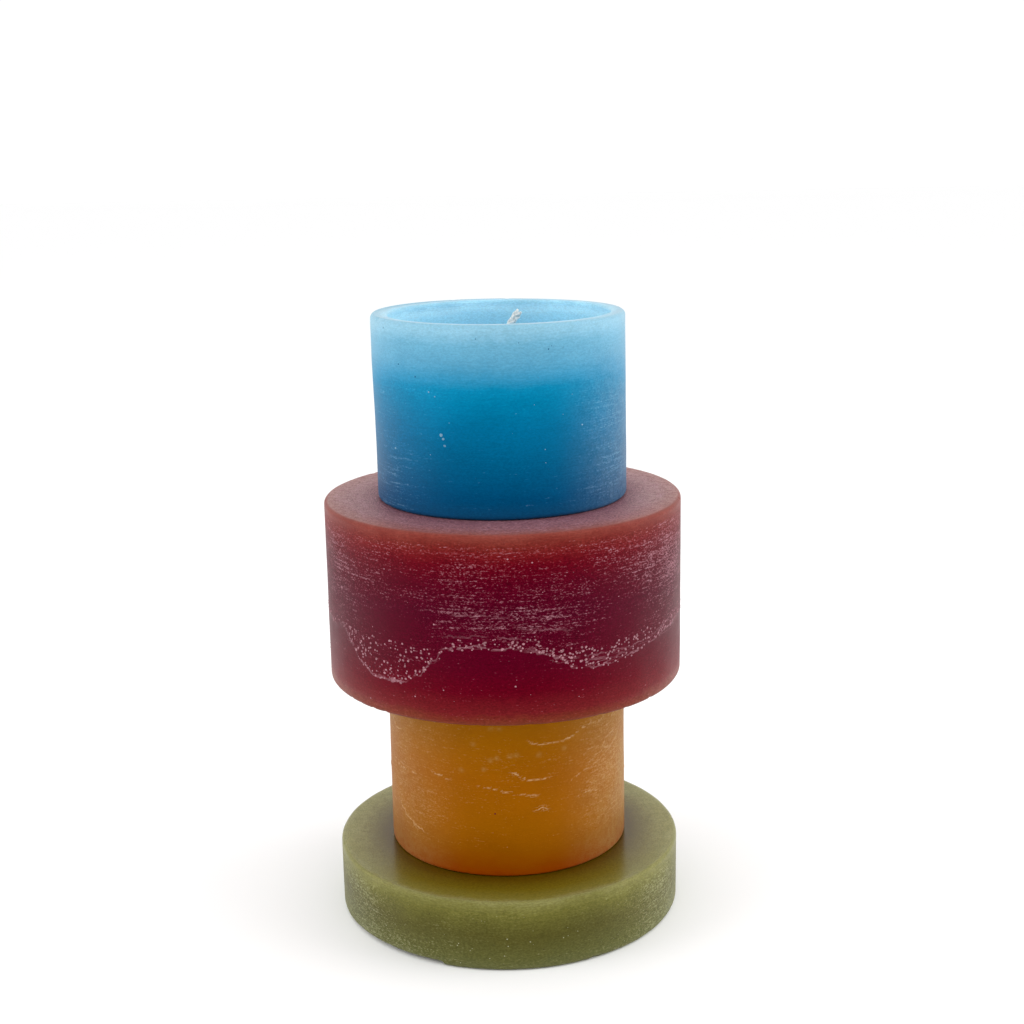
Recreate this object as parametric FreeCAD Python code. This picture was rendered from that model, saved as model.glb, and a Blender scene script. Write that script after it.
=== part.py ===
"""A stack of four loose candle blocks: a flat disc, a pillar, a drum and a cup, one on top of another.

Each block is a round body of cast wax with a wick that runs up its middle and a pressed steel
wick tab sunk into its underside. The cup at the top has a wide well with its wick standing
free in it. The other three have a small recess round the wick, so that the tip of the wick
stays below the top face and the next block sits flat on it.

Millimetres, +Z up. The origin is the centre of the bottom face of the lowest block.
"""
import FreeCAD, Part
import math
import os

V = FreeCAD.Vector
UP = V(0, 0, 1)

# Outside sizes of the four blocks, from the lowest up.
DISC_D, DISC_H = 98.5, 20.0
PILLAR_D, PILLAR_H = 68.0, 50.0
DRUM_D, DRUM_H = 100.0, 51.0
CUP_D, CUP_H = 69.6, 51.0
EDGE_ROUND = 1.1            # all outer edges of the wax
PILLAR_EDGE_ROUND = 0.6     # the pillar came out of its mould with crisper edges

# The cup's well.
CUP_WALL = 4.2
CUP_WELL_DEPTH = 15.5
CUP_WELL_FILLET = 2.0       # where the well's floor meets its wall
RIM_INNER_ROUND = 1.0

# The recess round the wick in the top of the disc, the pillar and the drum.
RECESS_D = 24.0
RECESS_DEPTH = 8.0
RECESS_FILLET = 2.0
RECESS_MOUTH_ROUND = 0.8

# Wicks: braided cotton stiffened with wax.
WICK_D = 2.2
WICK_GAP = 0.1              # radial, between the wick and its hole in the wax
WICK_HEADROOM = 0.3         # how far every wick stays below its block's top face
CUP_WICK_LEAN = 40.0        # degrees from upright at the cup wick's tip
CUP_WICK_HEADING = 14.0     # degrees from +X towards +Y: the way it leans

# Wick tabs: a disc of sheet steel with a neck drawn up round the wick.
TAB_D = 20.0
TAB_SHEET = 0.3
TAB_SINK = 0.7              # from the block's bottom face up to the tab's underside
TAB_GAP = 0.4               # radial, between the tab and its pocket
NECK_H = 5.0                # above the tab's top face
NECK_DRAW_R = 0.8           # the bend between disc and neck, on its outside
NECK_GAP = 0.2              # round and above the neck, in the wax


def cylinder(diameter, height, z=0.0):
    return Part.makeCylinder(diameter / 2, height, V(0, 0, z), UP)


def ring_edges(shape, diameter, z):
    """The circular edges of this diameter, centred on the axis at this height."""
    found = []
    for edge in shape.Edges:
        curve = edge.Curve
        if isinstance(curve, Part.Circle) and abs(curve.Radius - diameter / 2) < 1e-4:
            if abs(curve.Center.z - z) < 1e-4:
                found.append(edge)
    return found


def rounded(shape, diameter, z, radius):
    return shape.makeFillet(radius, ring_edges(shape, diameter, z))


def block(diameter, height, z, edge_round):
    """A wax cylinder with both its outer edges rounded."""
    wax = cylinder(diameter, height, z)
    wax = rounded(wax, diameter, z, edge_round)
    return rounded(wax, diameter, z + height, edge_round)


def hollowed(wax, top, diameter, depth, floor_fillet, mouth_round):
    """The wax with a round hollow sunk into its top face."""
    hollow = rounded(cylinder(diameter, depth, top - depth), diameter, top - depth, floor_fillet)
    return rounded(wax.cut(hollow), diameter, top, mouth_round)


def tab_seat(z):
    """The height of the pocket ceiling that a tab's disc lies against, for a block standing at z."""
    return z + TAB_SINK + TAB_SHEET


def drilled(wax, z, height):
    """The wax with its stepped hole from below: tab pocket, neck pocket and wick bore."""
    neck_outside = WICK_D + 2 * TAB_SHEET
    pocket = cylinder(TAB_D + 2 * TAB_GAP, TAB_SINK + TAB_SHEET, z)
    neck = cylinder(neck_outside + 2 * (NECK_DRAW_R + NECK_GAP), NECK_H + NECK_GAP, tab_seat(z))
    bore = cylinder(WICK_D + 2 * WICK_GAP, height, z)
    return wax.cut(pocket.fuse([neck, bore]))


def tab(z):
    """A wick tab: its section is a disc that bends up into a neck, turned about the axis."""
    top = tab_seat(z)
    under = top - TAB_SHEET
    inner, outer = WICK_D / 2, WICK_D / 2 + TAB_SHEET
    rim = TAB_D / 2
    big = NECK_DRAW_R + TAB_SHEET
    slant = math.sqrt(0.5)

    def arc(radius):
        """The bend of this radius about its centre, as start, middle and end points."""
        centre = V(outer + NECK_DRAW_R, 0, top + NECK_DRAW_R)
        low = centre + V(0, 0, -radius)
        mid = centre + V(-radius * slant, 0, -radius * slant)
        side = centre + V(-radius, 0, 0)
        return low, mid, side

    out_low, out_mid, out_side = arc(NECK_DRAW_R)
    in_low, in_mid, in_side = arc(big)
    neck_top_out = V(outer, 0, top + NECK_H)
    neck_top_in = V(inner, 0, top + NECK_H)
    edges = [
        Part.makeLine(V(rim, 0, top), out_low),
        Part.Arc(out_low, out_mid, out_side).toShape(),
        Part.makeLine(out_side, neck_top_out),
        Part.makeLine(neck_top_out, neck_top_in),
        Part.makeLine(neck_top_in, in_side),
        Part.Arc(in_side, in_mid, in_low).toShape(),
        Part.makeLine(in_low, V(rim, 0, under)),
        Part.makeLine(V(rim, 0, under), V(rim, 0, top)),
    ]
    section = Part.Face(Part.Wire(edges))
    return section.revolve(V(0, 0, 0), UP, 360)


def straight_wick(z, top):
    """A wick from its tab's underside up into the recess, its tip just below the top face."""
    foot = tab_seat(z) - TAB_SHEET
    return cylinder(WICK_D, top - WICK_HEADROOM - foot, foot)


def leaning_wick(z, top, well_depth):
    """A wick that runs straight up through the wax and leans over in the well in one bend."""
    foot = tab_seat(z) - TAB_SHEET
    floor = top - well_depth
    lean = math.radians(CUP_WICK_LEAN)
    heading = math.radians(CUP_WICK_HEADING)
    rise = well_depth - WICK_HEADROOM - WICK_D / 2 * math.sin(lean)
    bend_radius = rise / math.sin(lean)
    towards = V(math.cos(heading), math.sin(heading), 0)
    across = V(-towards.y, towards.x, 0)
    disc = Part.Face(Part.Wire(Part.makeCircle(WICK_D / 2, V(0, 0, floor), UP)))
    bend = disc.revolve(V(0, 0, floor) + towards * bend_radius, across, CUP_WICK_LEAN)
    return cylinder(WICK_D, floor - foot, foot).fuse(bend).removeSplitter()


def recessed_block(diameter, height, z, edge_round):
    """A wax block with the small recess round its wick in the top and the stepped hole below."""
    top = z + height
    wax = block(diameter, height, z, edge_round)
    wax = hollowed(wax, top, RECESS_D, RECESS_DEPTH, RECESS_FILLET, RECESS_MOUTH_ROUND)
    return drilled(wax, z, height)


def cup_block(z):
    """The top block: a wide open well inside a standing wall."""
    top = z + CUP_H
    wax = block(CUP_D, CUP_H, z, EDGE_ROUND)
    wax = hollowed(wax, top, CUP_D - 2 * CUP_WALL, CUP_WELL_DEPTH, CUP_WELL_FILLET, RIM_INNER_ROUND)
    return drilled(wax, z, CUP_H)


def build():
    """Every piece of the stack, by node name."""
    pieces = {}
    z = 0.0
    lower = [
        ("disc", DISC_D, DISC_H, EDGE_ROUND),
        ("pillar", PILLAR_D, PILLAR_H, PILLAR_EDGE_ROUND),
        ("drum", DRUM_D, DRUM_H, EDGE_ROUND),
    ]
    for name, diameter, height, edge_round in lower:
        pieces[name + "_wax"] = recessed_block(diameter, height, z, edge_round)
        pieces[name + "_wick"] = straight_wick(z, z + height)
        pieces[name + "_wick_tab"] = tab(z)
        z += height
    pieces["cup_wax"] = cup_block(z)
    pieces["cup_wick"] = leaning_wick(z, z + CUP_H, CUP_WELL_DEPTH)
    pieces["cup_wick_tab"] = tab(z)
    return pieces


def main():
    os.makedirs("parts", exist_ok=True)
    for name, shape in build().items():
        if not shape.isValid() or shape.Volume <= 0:
            raise ValueError(name + " isn't a valid solid")
        shape.exportStep("parts/" + name + ".step")
        print(name, round(shape.Volume / 1000, 2), "cm3", len(shape.Solids), "solid")


main()
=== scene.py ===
import math
import random

import bpy
import numpy as np
from mathutils import Matrix, Vector, noise


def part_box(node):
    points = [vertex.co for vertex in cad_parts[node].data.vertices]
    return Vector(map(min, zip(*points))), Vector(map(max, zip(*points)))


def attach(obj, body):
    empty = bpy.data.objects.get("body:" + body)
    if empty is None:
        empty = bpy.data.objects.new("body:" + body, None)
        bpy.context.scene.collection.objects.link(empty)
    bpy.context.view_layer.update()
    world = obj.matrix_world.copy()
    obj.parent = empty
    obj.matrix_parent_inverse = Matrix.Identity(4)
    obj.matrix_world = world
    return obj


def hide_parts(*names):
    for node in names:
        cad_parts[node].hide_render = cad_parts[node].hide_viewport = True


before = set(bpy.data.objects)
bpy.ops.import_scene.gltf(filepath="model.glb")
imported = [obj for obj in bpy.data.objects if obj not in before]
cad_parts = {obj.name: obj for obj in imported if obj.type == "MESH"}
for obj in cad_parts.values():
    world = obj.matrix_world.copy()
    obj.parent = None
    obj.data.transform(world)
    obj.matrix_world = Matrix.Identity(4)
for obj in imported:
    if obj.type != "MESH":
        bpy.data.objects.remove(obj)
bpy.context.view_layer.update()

MM = 0.001
UP = Vector((0, 0, 1))
SEGMENTS = 480                  # round a block

# The blocks' hollows, bores and rounded edges, as the part has them.
RECESS_R, RECESS_DEPTH = 12.0, 8.0
CUP_WALL, WELL_DEPTH = 4.2, 15.5
HOLLOW_FILLET = 2.0
EDGE_ROUND, PILLAR_EDGE_ROUND = 1.1, 0.6
MOUTH_ROUND, RIM_INNER_ROUND = 0.8, 1.0
WICK_R, WICK_BORE_R = 1.1, 1.2
TAB_POCKET_R, TAB_POCKET_H = 10.4, 1.0
NECK_POCKET_R, NECK_POCKET_H = 2.4, 6.2
TAB_SINK = 0.7                  # the wick starts this far above the block's bottom face
WICK_HEADROOM = 0.3
CUP_WICK_LEAN, CUP_WICK_HEADING = 40.0, 14.0

WICK_STEP = 0.25                # along a wick, between two points of its path
STRAND_SIDES = 10
NO_SEAM_NEAR = 9.0              # the seam distance kept where there is no seam
MIDDLE = (0.3, 0.7)             # where most of a noise texture's values lie


# ---------------------------------------------------------------- sections of the blocks

def straight(start, end, spacing):
    """Points from start to end about this far apart, without start itself."""
    steps = max(1, round(math.dist(start, end) / spacing))
    return [(start[0] + (end[0] - start[0]) * i / steps, start[1] + (end[1] - start[1]) * i / steps)
            for i in range(1, steps + 1)]


def bend(centre, radius, start, end, steps):
    """Points on an arc from one angle to another, in degrees from outward towards up, without its first."""
    points = []
    for i in range(1, steps + 1):
        angle = math.radians(start + (end - start) * i / steps)
        points.append((centre[0] + radius * math.cos(angle), centre[1] + radius * math.sin(angle)))
    return points


def block_section(radius, height, edge, hollow_r, hollow_depth, mouth_round, side_step, top_step):
    """The closed section of a block as (radius, height) points, counter-clockwise from the bottom edge.
    It has points close together where the wax shows, and few in the stepped hole from below."""
    wall_step, floor_step, underside_step = 0.8, 0.9, 1.6
    floor = height - hollow_depth
    inner = hollow_r - HOLLOW_FILLET
    points = bend((radius - edge, edge), edge, -90, 0, 5)
    points += straight((radius, edge), (radius, height - edge), side_step)
    points += bend((radius - edge, height - edge), edge, 0, 90, 6)
    mouth = hollow_r + mouth_round
    points += straight((radius - edge, height), (mouth, height), top_step)
    points += bend((mouth, height - mouth_round), mouth_round, 90, 180, 4)
    points += straight((hollow_r, height - mouth_round), (hollow_r, floor + HOLLOW_FILLET), wall_step)
    points += bend((inner, floor + HOLLOW_FILLET), HOLLOW_FILLET, 0, -90, 5)
    points += straight((inner, floor), (WICK_BORE_R, floor), floor_step)
    points += straight((WICK_BORE_R, floor), (WICK_BORE_R, NECK_POCKET_H), 9.0)
    points += straight((WICK_BORE_R, NECK_POCKET_H), (NECK_POCKET_R, NECK_POCKET_H), 2.0)
    points += straight((NECK_POCKET_R, NECK_POCKET_H), (NECK_POCKET_R, TAB_POCKET_H), 3.0)
    points += straight((NECK_POCKET_R, TAB_POCKET_H), (TAB_POCKET_R, TAB_POCKET_H), 4.0)
    points += straight((TAB_POCKET_R, TAB_POCKET_H), (TAB_POCKET_R, 0), 1.0)
    points += straight((TAB_POCKET_R, 0), (radius - edge, 0), underside_step)
    return points


def outward(points):
    """The outward direction at each point of a closed section."""
    p = np.array(points)
    along = np.roll(p, -1, axis=0) - np.roll(p, 1, axis=0)
    normal = np.stack([along[:, 1], -along[:, 0]], axis=1)
    return normal / np.linalg.norm(normal, axis=1, keepdims=True)


# ---------------------------------------------------------------- fields over a block's skin

def smooth(value, low, high):
    """0 below low, 1 above high, and a smooth rise between."""
    t = np.clip((value - low) / (high - low), 0, 1)
    return t * t * (3 - 2 * t)


def grain(points, size, seed, stretch=1.0):
    """Smooth noise from about -1 to 1 with this feature size in mm, shortened in height by stretch."""
    shift = Vector((seed * 17.3, seed * 5.9, seed * 11.1))
    flat = points.reshape(-1, 3) / size * np.array([1, 1, stretch])
    values = [noise.noise(Vector(p) + shift) for p in flat]
    return np.array(values).reshape(points.shape[:-1])


def turn_gap(azimuth, middle):
    """Degrees from middle to azimuth, from -180 to 180."""
    return (azimuth - middle + 180) % 360 - 180


def round_curve(azimuth, knots):
    """A smooth closed curve through (azimuth, value) knots, read at each azimuth."""
    at = np.array([k[0] for k in knots], float)
    value = np.array([k[1] for k in knots], float)
    at = np.concatenate([at - 360, at, at + 360])
    value = np.tile(value, 3)
    low = np.clip(np.searchsorted(at, azimuth, side="right") - 1, 0, len(at) - 2)
    t = (azimuth - at[low]) / (at[low + 1] - at[low])
    t = t * t * (3 - 2 * t)
    return value[low] + (value[low + 1] - value[low]) * t


def seam_fields(skin, seams):
    """For level seams through (azimuth, height) knots: each point's signed distance in mm from the
    nearest, and a strength that fades away from it and towards its ends."""
    gap = np.full(skin.azimuth.shape, NO_SEAM_NEAR)
    strength = np.zeros_like(gap)
    for knots in seams:
        turns = np.array([turn_gap(a, knots[0][0]) for a, _ in knots], float)
        heights = np.array([h for _, h in knots], float)
        a = turn_gap(skin.azimuth, knots[0][0])
        slope = np.diff(heights) / np.diff(np.radians(turns) * skin.radius)
        steep = slope[np.clip(np.searchsorted(turns, a) - 1, 0, len(slope) - 1)]
        off = (skin.height - np.interp(a, turns, heights)) / np.sqrt(1 + steep ** 2)
        inside = smooth(a, turns[0] - 1.5, turns[0] + 2.0) * smooth(-a, -turns[-1] - 1.5, -turns[-1] + 3.0)
        nearer = np.abs(off) < np.abs(gap)
        gap = np.where(nearer, off, gap)
        strength = np.where(nearer, inside * smooth(-np.abs(off), -1.1, -0.7), strength)
    return gap, strength * skin.side


class Skin:
    """The grid of points on a block's skin: the section's points by the turns round the axis. For each
    point it keeps the azimuth, the height, the reach from the axis, the run along the section, whether
    it is on the side or the top, and how far it is to be pushed outward and lifted."""

    def __init__(self, section, radius, height, seed):
        self.radius, self.total, self.seed = radius, height, seed
        self.section = np.array(section)
        self.normals = outward(section)
        turn = np.linspace(0, 2 * math.pi, SEGMENTS, endpoint=False)
        self.turn = turn
        r = np.repeat(self.section[:, :1], SEGMENTS, axis=1)
        self.height = np.repeat(self.section[:, 1:], SEGMENTS, axis=1)
        self.reach = r
        self.azimuth = np.degrees(np.arctan2(r * np.cos(turn), r * np.sin(turn)[None, :] * -1))
        self.points = np.stack([r * np.cos(turn), r * np.sin(turn), self.height], axis=-1)
        steps = np.linalg.norm(np.roll(self.section, -1, axis=0) - self.section, axis=1)
        self.length = steps.sum()
        self.run = np.repeat((np.cumsum(steps) - steps)[:, None], SEGMENTS, axis=1)
        self.side = smooth(r, radius - 1.2, radius - 0.5)
        self.top = smooth(self.height, height - 0.5, height - 0.1) * (1 - self.side)
        self.push = np.zeros_like(r)
        self.lift = np.zeros_like(r)

    def along(self, reach, height):
        """How far along the section, from 0 to 1, its nearest point to this radius and height is."""
        row = np.hypot(self.section[:, 0] - reach, self.section[:, 1] - height).argmin()
        return float(self.run[row, 0] / self.length)

    def surface(self, azimuth, height):
        """The radius of the moved side at this azimuth and height."""
        rows = np.nonzero(self.side[:, 0] > 0.99)[0]
        row = rows[np.abs(self.section[rows, 1] - height).argmin()]
        column = round((azimuth - 90) / 360 * SEGMENTS) % SEGMENTS
        return self.reach[row, column] + self.push[row, column]

    def moved(self):
        """The points after the pushes along their normals and the lifts."""
        reach = self.reach + self.push * self.normals[:, :1]
        height = self.height + self.push * self.normals[:, 1:] + self.lift
        return np.stack([reach * np.cos(self.turn), reach * np.sin(self.turn), height], axis=-1)


def cast_skin(skin, wave, worn):
    """The unevenness of every cast block: slow waves in the side, worn edges and a brushed top."""
    slow_size, quick_size, nick_size, edge_width = 21.0, 6.5, 2.6, 0.9
    slow = grain(skin.points, slow_size, skin.seed)
    quick = grain(skin.points, quick_size, skin.seed + 1)
    skin.push += skin.side * wave * (slow + 0.4 * quick)
    from_side = ((skin.reach - skin.radius) / edge_width) ** 2
    top_edge = np.exp(-from_side - ((skin.height - skin.total) / edge_width) ** 2)
    low_edge = np.exp(-from_side - (skin.height / edge_width) ** 2)
    nick = smooth(grain(skin.points, nick_size, skin.seed + 2), 0.42, 0.75)
    skin.push -= (top_edge + low_edge) * worn * (0.25 + 0.35 * quick + 1.6 * nick)
    ring_space = np.stack([skin.reach * 1.9, skin.points[..., 0] * 0.12, skin.points[..., 1] * 0.12], -1)
    ripples = grain(ring_space, 1.0, skin.seed + 3)
    skin.lift -= skin.top * (0.03 + 0.02 * ripples)


def pool_round_wick(skin, floor, climb, dish):
    """The wax of a hollow's floor climbs the wick a little and sinks a little between wick and wall."""
    on_floor = smooth(-np.abs(skin.height - floor), -0.4, -0.05) * (skin.reach < skin.radius * 0.95)
    climb_width = 0.9
    skin.lift += on_floor * climb * np.exp(-(skin.reach - WICK_BORE_R) / climb_width)
    middle = skin.radius * 0.4
    skin.lift -= on_floor * dish * np.exp(-((skin.reach - middle) / (middle * 0.5)) ** 2)


def patch(skin, azimuth, height, half_width, half_height):
    """A soft oval patch on the side: half its width in degrees and half its height in mm."""
    x = turn_gap(skin.azimuth, azimuth) / half_width
    y = (skin.height - height) / half_height
    return np.exp(-(x * x + y * y)) * skin.side


# ---------------------------------------------------------------- meshes

def place(name, mesh):
    """A new object in the scene for this mesh."""
    piece = bpy.data.objects.new(name, mesh)
    bpy.context.scene.collection.objects.link(piece)
    return piece


def smooth_piece(name, verts, faces, fields, sharp=None):
    """A piece shaded smooth, or sharp at edges over this many degrees. verts are in metres, and each
    field is a number on every vertex."""
    mesh = bpy.data.meshes.new(name)
    mesh.from_pydata(verts, [], faces)
    for field, values in fields.items():
        attribute = mesh.attributes.new(field, "FLOAT", "POINT")
        attribute.data.foreach_set("value", np.ascontiguousarray(values, np.float32).ravel())
    mesh.polygons.foreach_set("use_smooth", [True] * len(mesh.polygons))
    if sharp is not None:
        mesh.set_sharp_from_angle(angle=math.radians(sharp))
    mesh.update()
    return place(name, mesh)


def lathe_mesh(name, skin, base, fields):
    """The skin as a closed mesh in metres, with each field as a number on its vertices."""
    points = skin.moved()
    points[..., 2] += base
    rows, count = points.shape[:2]
    index = np.arange(rows * count).reshape(rows, count)
    right = np.roll(index, -1, axis=1)
    above = np.roll(index, -1, axis=0)
    quads = np.stack([index, right, np.roll(right, -1, axis=0), above], axis=-1).reshape(-1, 4)
    return smooth_piece(name, (points.reshape(-1, 3) * MM).tolist(), quads.tolist(), fields, sharp=50)


def frames_along(path):
    """For each point of a path, two directions across it that don't twist."""
    across = Vector((1, 0, 0))
    frames = []
    for i in range(len(path)):
        before, after = path[max(i - 1, 0)], path[min(i + 1, len(path) - 1)]
        tangent = (after - before).normalized()
        across = (across - tangent * across.dot(tangent)).normalized()
        frames.append((across, tangent.cross(across)))
    return frames


def ring_faces(first, rings, sides):
    """The faces round a stack of rings of points, with one more face over each end."""
    faces = []
    for i in range(rings - 1):
        for k in range(sides):
            a = first + i * sides + k
            b = first + i * sides + (k + 1) % sides
            faces.append((a, b, b + sides, a + sides))
    faces.append(tuple(first + k for k in reversed(range(sides))))
    faces.append(tuple(first + (rings - 1) * sides + k for k in range(sides)))
    return faces


def tube(verts, faces, depth, centres, frames, radii, sides, deep):
    """Adds a closed round tube along the centres to the lists of a mesh."""
    first = len(verts)
    for centre, (u, v), radius in zip(centres, frames, radii):
        for k in range(sides):
            angle = 2 * math.pi * k / sides
            verts.append(centre + (u * math.cos(angle) + v * math.sin(angle)) * radius)
            depth.append(deep)
    faces.extend(ring_faces(first, len(centres), sides))


def wick_path(base, top, bend_from, lean, heading, tuft=0.0):
    """Points up a wick: straight to bend_from, then over in one even bend to its lean at the top.
    The tuft is the cut end, where the loose fibres stand past the stiff part."""
    path = [Vector((0, 0, base + i * WICK_STEP)) for i in range(int((bend_from - base) / WICK_STEP))]
    path.append(Vector((0, 0, bend_from)))
    if lean == 0:
        steps = round((top - bend_from) / WICK_STEP)
        return path + [Vector((0, 0, bend_from + (top - bend_from) * (i + 1) / steps)) for i in range(steps)]
    lean, heading = math.radians(lean), math.radians(heading)
    radius = (top - bend_from - WICK_R * math.sin(lean)) / math.sin(lean)
    towards = Vector((math.cos(heading), math.sin(heading), 0))
    steps = round(radius * lean / WICK_STEP)
    for i in range(1, steps + 1):
        angle = lean * i / steps
        path.append(towards * radius * (1 - math.cos(angle)) + UP * (bend_from + radius * math.sin(angle)))
    onward = (path[-1] - path[-2]).normalized()
    end = path[-1].copy()
    for i in range(1, round(tuft / WICK_STEP) + 1):
        path.append(end + onward * WICK_STEP * i)
    return path


def braided_wick(name, path, seed):
    """A round braid of eight strands over a core: four turn each way, each over one and under the next."""
    strand_r, ring_r, weave, turn_length = 0.43, 0.64, 0.11, 9.5
    core_r, taper_length, flare, flare_length = 0.62, 1.0, 0.03, 1.2
    chance = random.Random(seed)
    frames = frames_along(path)
    verts, faces, depth = [], [], []
    lengths = [0.0]
    for a, b in zip(path[:-1], path[1:]):
        lengths.append(lengths[-1] + (b - a).length)
    core = len(path) - 3
    # The core is marked 0 in the strand field, for the painted shade of the braid's hollows.
    tube(verts, faces, depth, path[:core], frames[:core], [core_r] * core, STRAND_SIDES, 0.0)
    for k in range(8):
        way = 1 if k % 2 else -1
        start = math.pi / 2 * (k // 2)
        last = len(path) - chance.choice((0, 0, 1, 1))
        centres, radii = [], []
        for i in range(last):
            phase = 2 * math.pi * lengths[i] / turn_length
            angle = start + way * phase
            open_end = smooth(lengths[i], lengths[-1] - flare_length, lengths[-1]) * flare
            ring = ring_r + way * weave * math.cos(4 * phase) + open_end
            u, v = frames[i]
            centres.append(path[i] + (u * math.cos(angle) + v * math.sin(angle)) * ring)
            to_end = min((last - 1 - i) * WICK_STEP, taper_length)
            radii.append(strand_r * (0.45 + 0.55 * math.sqrt(to_end)) if to_end < 1 else strand_r)
        tube(verts, faces, depth, centres, frames[:last], radii, STRAND_SIDES, 1.0)
    return smooth_piece(name, [v * MM for v in verts], faces, {"strand": depth}, sharp=60)


def speck_mesh(name, skin, base, spots, seed):
    """Low round blooms on a block's side, one for each (azimuth, height, radius, tone)."""
    chance = random.Random(seed)
    sides = 9
    profile = ((1.0, -0.06), (0.86, 0.02), (0.45, 0.06), (0.12, 0.07))  # share of the radius, mm proud
    verts, faces, tones, middles = [], [], [], []
    for azimuth, height, size, tone in spots:
        surface = skin.surface(azimuth, height)
        first = len(verts)
        wide = chance.uniform(0.9, 1.35)
        wobble = [chance.uniform(0.86, 1.14) for _ in range(sides)]
        for share, proud in profile:
            for k in range(sides):
                angle = 2 * math.pi * k / sides
                off = size * share * wobble[k]
                turn = math.radians(azimuth) + off * wide * math.cos(angle) / surface
                out = surface + proud
                verts.append((out * math.sin(turn) * MM, -out * math.cos(turn) * MM,
                              (base + height + off * math.sin(angle)) * MM))
                tones.append(tone)
                middles.append(1 - share)
        faces.extend(ring_faces(first, len(profile), sides))
    return smooth_piece(name, verts, faces, {"tone": tones, "middle": middles})


# ---------------------------------------------------------------- material nodes

class Shader:
    """A new material's node tree, with short calls for the nodes used here."""

    def __init__(self, name):
        self.material = bpy.data.materials.new(name)
        self.material.use_nodes = True
        self.tree = self.material.node_tree
        self.surface = self.tree.nodes["Principled BSDF"]
        self.here = self.add("ShaderNodeTexCoord").outputs["Object"]

    def add(self, kind, **settings):
        node = self.tree.nodes.new(kind)
        for key, value in settings.items():
            setattr(node, key, value)
        return node

    def feed(self, socket, value):
        """Links an output to a socket, or sets the socket to a plain value."""
        if isinstance(value, bpy.types.NodeSocket):
            self.tree.links.new(value, socket)
        else:
            socket.default_value = value

    def math(self, operation, a, b=0.0):
        node = self.add("ShaderNodeMath", operation=operation)
        self.feed(node.inputs[0], a)
        self.feed(node.inputs[1], b)
        return node.outputs[0]

    def times(self, a, b):
        return self.math("MULTIPLY", a, b)

    def plus(self, a, b):
        return self.math("ADD", a, b)

    def minus(self, a, b):
        return self.math("SUBTRACT", a, b)

    def rise(self, value, low, high, to_low=0.0, to_high=1.0):
        """A smooth change from to_low to to_high as value goes from low to high."""
        node = self.add("ShaderNodeMapRange", interpolation_type="SMOOTHSTEP")
        for socket, x in zip(node.inputs, (value, low, high, to_low, to_high)):
            self.feed(socket, x)
        return node.outputs[0]

    def mix(self, factor, a, b, blend="MIX"):
        node = self.add("ShaderNodeMix", data_type="RGBA", blend_type=blend)
        self.feed(node.inputs[0], factor)
        self.feed(node.inputs[6], a)
        self.feed(node.inputs[7], b)
        return node.outputs[2]

    def stretched(self, x, y, z):
        """The object coordinates, in metres, multiplied by these."""
        node = self.add("ShaderNodeVectorMath", operation="MULTIPLY")
        self.feed(node.inputs[0], self.here)
        self.feed(node.inputs[1], (x, y, z))
        return node.outputs[0]

    def noise(self, vector, scale=1.0, detail=2.0, roughness=0.5):
        node = self.add("ShaderNodeTexNoise")
        self.feed(node.inputs["Vector"], vector)
        self.feed(node.inputs["Scale"], scale)
        self.feed(node.inputs["Detail"], detail)
        self.feed(node.inputs["Roughness"], roughness)
        return node.outputs[0]

    def cells(self, vector, scale=1.0):
        """A Voronoi texture: the distance to the nearest cell's middle, and a random colour for each cell."""
        node = self.add("ShaderNodeTexVoronoi", feature="F1")
        self.feed(node.inputs["Vector"], vector)
        self.feed(node.inputs["Scale"], scale)
        return node.outputs["Distance"], node.outputs["Color"]

    def field(self, name):
        """A number kept on the mesh's vertices."""
        return self.add("ShaderNodeAttribute", attribute_name=name).outputs["Fac"]

    def ramp(self, value, stops):
        """Colours by value: stops are (place from 0 to 1, colour)."""
        node = self.add("ShaderNodeValToRGB")
        elements = node.color_ramp.elements
        while len(elements) < len(stops):
            elements.new(0.5)
        for element, (at, colour) in zip(elements, stops):
            element.position = at
            element.color = (*colour, 1.0)
        self.feed(node.inputs[0], value)
        return node.outputs["Color"]

    def bump(self, height, distance, strength):
        node = self.add("ShaderNodeBump")
        self.feed(node.inputs["Strength"], strength)
        self.feed(node.inputs["Distance"], distance)
        self.feed(node.inputs["Height"], height)
        return node.outputs[0]


def rgb(red, green, blue):
    """An on-screen colour from 0 to 255 as the linear colour that a shader takes."""
    return tuple(c / 12.92 if c <= 0.04045 else ((c + 0.055) / 1.055) ** 2.4
                 for c in (red / 255, green / 255, blue / 255))


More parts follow.
